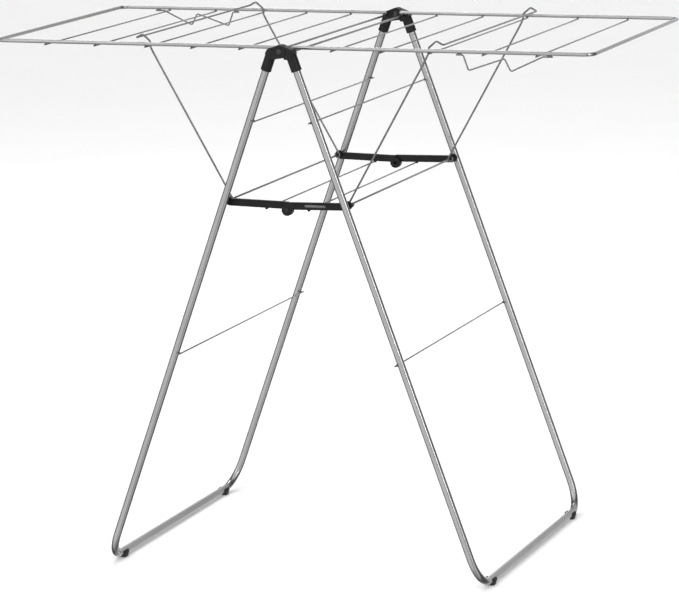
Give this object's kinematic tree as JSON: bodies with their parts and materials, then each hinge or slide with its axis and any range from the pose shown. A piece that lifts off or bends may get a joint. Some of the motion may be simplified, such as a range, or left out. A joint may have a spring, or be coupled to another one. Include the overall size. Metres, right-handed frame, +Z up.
{
  "type": "clothes drying rack",
  "caption": "Folding A-frame clothes drying rack with two wire wings, bent-tube legs, wire bails and a locking brace.",
  "frame": {"origin": "on the floor, under the middle of the rack", "axes": "+X along the wings, +Y from front to back, +Z up"},
  "size_m": [1.2072, 0.6916, 1.0439],
  "materials": {
    "leg_tubes": "satin grey coating over steel",
    "rails": "satin grey coating over steel",
    "wires": "satin grey coating over steel",
    "hinge_plastic": "fine-grained moulded plastic, charcoal",
    "brace_plastic": "fine-grained moulded plastic, charcoal",
    "feet": "soft matt rubber",
    "rivets": "dark plated steel"
  },
  "bodies": {
    "left_frame": {"left_leg_tube": "leg_tubes", "left_upper_leg_wire": "wires", "left_lower_leg_wire": "wires", "left_cross_rod": "wires", "left_front_foot": "feet", "left_front_elbow": "hinge_plastic", "left_back_foot": "feet", "left_back_elbow": "hinge_plastic", "front_hinge_pin": "rivets", "back_hinge_pin": "rivets"},
    "right_frame": {"right_leg_tube": "leg_tubes", "right_upper_leg_wire": "wires", "right_lower_leg_wire": "wires", "right_cross_rod": "wires", "right_front_foot": "feet", "right_front_elbow": "hinge_plastic", "right_back_foot": "feet", "right_back_elbow": "hinge_plastic"},
    "left_wing": {"left_wing_rail": "rails", "left_wing_pivot_rod": "wires", "left_wing_wire_1": "wires", "left_wing_wire_2": "wires", "left_wing_wire_3": "wires", "left_wing_wire_4": "wires", "left_wing_wire_5": "wires", "left_wing_hanger": "wires"},
    "right_wing": {"right_wing_rail": "rails", "right_wing_pivot_rod": "wires", "right_wing_wire_1": "wires", "right_wing_wire_2": "wires", "right_wing_wire_3": "wires", "right_wing_wire_4": "wires", "right_wing_wire_5": "wires", "right_wing_hanger": "wires"},
    "left_bail": {"left_bail": "wires"},
    "right_bail": {"right_bail": "wires"},
    "left_brace": {"left_front_link": "brace_plastic", "left_back_link": "brace_plastic", "left_brace_rod": "wires"},
    "right_brace": {"right_front_link": "brace_plastic", "right_back_link": "brace_plastic", "right_brace_rod": "wires", "front_knuckle_pin": "rivets", "back_knuckle_pin": "rivets"}
  },
  "joints": [
    {"name": "leg_fold", "type": "hinge", "parent": "left_frame", "child": "right_frame", "pos_m": [0, 0, 1.021], "axis": [0, 1, 0], "range_deg": [0, 36]},
    {"name": "left_wing_fold", "type": "hinge", "parent": "left_frame", "child": "left_wing", "pos_m": [-0.01827, 0, 1.0194], "axis": [0, -1, 0], "range_deg": [0, 64]},
    {"name": "left_bail_swing", "type": "hinge", "parent": "left_frame", "child": "left_bail", "pos_m": [-0.12257, 0, 0.73], "axis": [0, -1, 0], "range_deg": [-22, 0]},
    {"name": "left_brace_swing", "type": "hinge", "parent": "left_frame", "child": "left_brace", "pos_m": [-0.12257, 0, 0.73], "axis": [0, -1, 0], "range_deg": [0, 66]},
    {"name": "right_wing_fold", "type": "hinge", "parent": "right_frame", "child": "right_wing", "pos_m": [0.01827, 0, 1.0194], "axis": [0, 1, 0], "range_deg": [0, 64]},
    {"name": "right_bail_swing", "type": "hinge", "parent": "right_frame", "child": "right_bail", "pos_m": [0.12257, 0, 0.73], "axis": [0, 1, 0], "range_deg": [-22, 0]},
    {"name": "right_brace_swing", "type": "hinge", "parent": "right_frame", "child": "right_brace", "pos_m": [0.12257, 0, 0.73], "axis": [0, 1, 0], "range_deg": [0, 66]}
  ],
  "couplings": [
    {"joint": "left_bail_swing", "follows": "left_wing_fold", "ratio": -0.34},
    {"joint": "left_brace_swing", "follows": "leg_fold", "ratio": 1.83},
    {"joint": "right_bail_swing", "follows": "right_wing_fold", "ratio": -0.34},
    {"joint": "right_brace_swing", "follows": "leg_fold", "ratio": 1.83}
  ]
}
